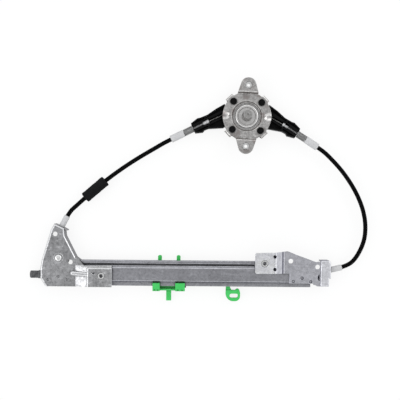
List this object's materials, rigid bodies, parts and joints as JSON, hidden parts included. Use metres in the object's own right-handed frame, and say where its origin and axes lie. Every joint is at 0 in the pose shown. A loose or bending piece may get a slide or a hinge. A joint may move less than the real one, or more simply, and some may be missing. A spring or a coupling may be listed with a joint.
{
  "type": "window regulator",
  "caption": "Hand-crank cable window regulator for a vehicle door: crank unit with drum, sheathed cables, steel rail with end brackets and a green sliding glass carrier.",
  "frame": {"origin": "on the crank shaft's axis, in the plane of the faces that bolt against the door panel", "axes": "+Z along the crank shaft towards the cabin, +X along the rail from its pulley end towards its shoe end, +Y from the rail towards the crank unit"},
  "size_m": [0.4922, 0.3257, 0.045],
  "materials": {
    "rail_steel": "satin zinc coat, faint spangle",
    "bracket_steel": "mottled zinc coat",
    "cover_steel": "warm grey zinc coat",
    "shaft_steel": "machined, lightly oiled",
    "spring_steel": "drawn wire",
    "nut_steel": "bright zinc plate",
    "cable_steel": "stranded, greased",
    "black_plastic": "moulded, slight sheen",
    "pale_plastic": "moulded, natural colour",
    "conduit_black": "extruded over a wound liner",
    "foam": "open-cell foam",
    "buffer_rubber": "moulded rubber",
    "green_plastic": "moulded, satin"
  },
  "bodies": {
    "base": {"rail": "rail_steel", "right_bracket": "rail_steel", "left_bracket": "bracket_steel", "cover_plate": "cover_steel", "brake_cup": "cover_steel", "tension_spring_left": "spring_steel", "tension_spring_right": "spring_steel", "ear_nuts": "nut_steel", "pad_nut": "nut_steel", "lug_nut": "nut_steel", "pulley_rivet": "nut_steel", "pulley_washer": "nut_steel", "inner_cable_left": "cable_steel", "inner_cable_right": "cable_steel", "run_cable_left": "cable_steel", "run_cable_right": "cable_steel", "drum_housing": "black_plastic", "peg_heads": "black_plastic", "cable_shoe": "pale_plastic", "cable_guide_left": "pale_plastic", "cable_guide_right": "pale_plastic", "sleeve_left": "pale_plastic", "sleeve_right": "pale_plastic", "ferrule_left": "pale_plastic", "ferrule_right": "pale_plastic", "conduit_left": "conduit_black", "conduit_right": "conduit_black", "foam_sleeve": "foam", "end_buffer": "buffer_rubber"},
    "crank": {"crank_shaft": "shaft_steel", "drum": "pale_plastic", "drive_dog": "shaft_steel", "drum_windings": "cable_steel", "wrap_spring": "spring_steel"},
    "pulley_wheel": {"pulley": "pale_plastic"},
    "glass_carrier": {"carrier": "green_plastic", "slide_pads": "black_plastic", "carrier_nipples": "nut_steel"}
  },
  "joints": [
    {"name": "crank_turn", "type": "hinge", "parent": "base", "child": "crank", "pos_m": [0, 0, 0], "axis": [0, 0, 1], "range_deg": [-320, 355]},
    {"name": "carrier_slide", "type": "slide", "parent": "base", "child": "glass_carrier", "axis": [1, 0, 0], "range_m": [-0.0895, 0.0995], "deforming": ["run_cable_left", "run_cable_right"]},
    {"name": "pulley_spin", "type": "hinge", "parent": "base", "child": "pulley_wheel", "pos_m": [-0.2716, -0.2081, -0.014], "axis": [0, 0, 1], "range_deg": [-383, 425]}
  ],
  "couplings": [
    {"joint": "carrier_slide", "follows": "crank_turn", "m_per_rad": 0.016},
    {"joint": "pulley_spin", "follows": "crank_turn", "ratio": 1.194}
  ]
}
